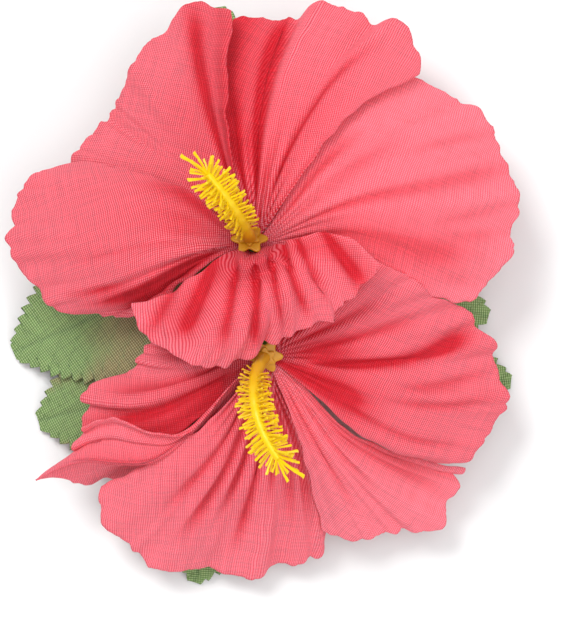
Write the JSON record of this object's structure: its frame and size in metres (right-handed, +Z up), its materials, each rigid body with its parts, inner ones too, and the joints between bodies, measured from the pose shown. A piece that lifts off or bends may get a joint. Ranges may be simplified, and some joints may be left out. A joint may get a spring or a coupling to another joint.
{
  "type": "flower hair clip",
  "caption": "Fabric hibiscus blooms and serrated leaves glued to the fin of a sprung plastic beak clip, whose toothed jaws open to grip hair.",
  "frame": {"origin": "centre of the footprint, on the surface that the clip's lower jaw lies on", "axes": "+Z up out of the blooms, +Y along the clip from its nose to its finger levers, +X to the right along the hinge pin"},
  "size_m": [0.1206, 0.1376, 0.0681],
  "materials": {
    "clip_plastic": "glossy black-olive moulded styrene",
    "spring_steel": "bright rolled strip and rivet steel",
    "petal_fabric": "starched coral-pink plain weave, darker red at the throat",
    "leaf_fabric": "starched green weave with a brown airbrushed band",
    "stamen_plastic": "soft moulded yellow, amber at its foot",
    "calyx_plastic": "soft moulded leaf green",
    "hot_glue": "cloudy amber hot-melt glue"
  },
  "bodies": {
    "bloom_side": {"upper_jaw": "clip_plastic", "upper_calyx": "calyx_plastic", "lower_calyx": "calyx_plastic", "upper_glue_bead": "hot_glue", "lower_glue_bead": "hot_glue", "upper_stamen": "stamen_plastic", "lower_stamen": "stamen_plastic", "upper_left_petal": "petal_fabric", "upper_top_left_petal": "petal_fabric", "upper_top_petal": "petal_fabric", "upper_right_petal": "petal_fabric", "upper_lip_petal": "petal_fabric", "lower_right_petal": "petal_fabric", "lower_bottom_right_petal": "petal_fabric", "lower_bottom_petal": "petal_fabric", "lower_left_petal": "petal_fabric", "lower_upper_left_petal": "petal_fabric", "left_upper_leaf": "leaf_fabric", "left_lower_leaf": "leaf_fabric", "bottom_leaf": "leaf_fabric", "right_upper_leaf": "leaf_fabric", "right_lower_leaf": "leaf_fabric", "top_leaf": "leaf_fabric"},
    "lower_side": {"lower_jaw": "clip_plastic", "hinge_pin": "spring_steel", "leaf_spring": "spring_steel"}
  },
  "joints": [
    {"name": "jaw_hinge", "type": "hinge", "parent": "bloom_side", "child": "lower_side", "pos_m": [0.00064, 0.02906, 0.01208], "axis": [1, 0, 0], "range_deg": [0, 35], "stiffness_Nm_per_rad": 0.08, "springref_deg": -45.84, "deforming": ["leaf_spring"]}
  ]
}
